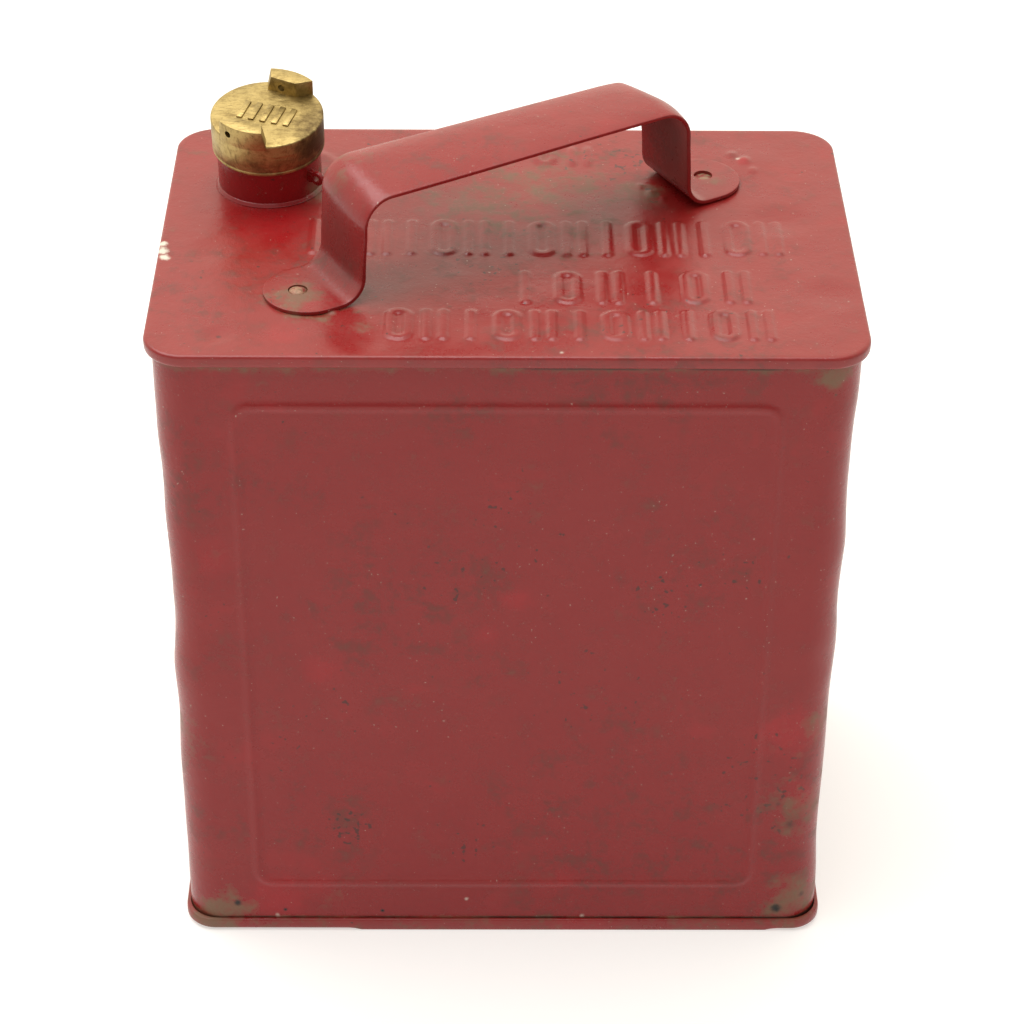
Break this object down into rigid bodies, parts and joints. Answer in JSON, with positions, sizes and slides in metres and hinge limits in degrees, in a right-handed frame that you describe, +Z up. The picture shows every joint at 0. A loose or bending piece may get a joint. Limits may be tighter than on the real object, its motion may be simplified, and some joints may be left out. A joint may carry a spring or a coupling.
{
  "type": "fuel can",
  "caption": "Pressed steel fuel can with folded seams, a raised border, a diagonal strap handle and a lugged brass screw cap on a corner neck.",
  "frame": {"origin": "on the ground under the middle of the base", "axes": "+Z up, front with the view of the picture towards -Y, +X to the viewer's right, the neck at the back left"},
  "size_m": [0.245, 0.163, 0.301],
  "materials": {
    "red_paint": "aged red enamel, worn and dirty",
    "panel_paint": "aged red enamel, faded by light",
    "brass": "dull, worn brass",
    "solder": "dull tin solder, stained",
    "leather": "oiled leather"
  },
  "bodies": {
    "tank": {"body_wrap": "red_paint", "top_panel": "panel_paint", "bottom_panel": "red_paint", "neck_collar": "red_paint", "threaded_bush": "brass", "neck_solder": "panel_paint", "seal_eye": "red_paint", "handle_strap": "red_paint", "handle_solder_left": "solder", "handle_solder_right": "solder"},
    "cap_rise": {"cap_washer": "leather"},
    "cap": {"screw_cap": "brass"}
  },
  "joints": [
    {"name": "cap_lift", "type": "slide", "parent": "tank", "child": "cap_rise", "axis": [0, -0.1392, 0.9903], "range_m": [0, 0.0127]},
    {"name": "cap_turn", "type": "hinge", "parent": "cap_rise", "child": "cap", "pos_m": [-0.086, 0.03616, 0.28277], "axis": [0, -0.1392, 0.9903], "range_deg": [0, 1440]}
  ],
  "couplings": [
    {"joint": "cap_lift", "follows": "cap_turn", "m_per_rad": 0.00050532}
  ]
}
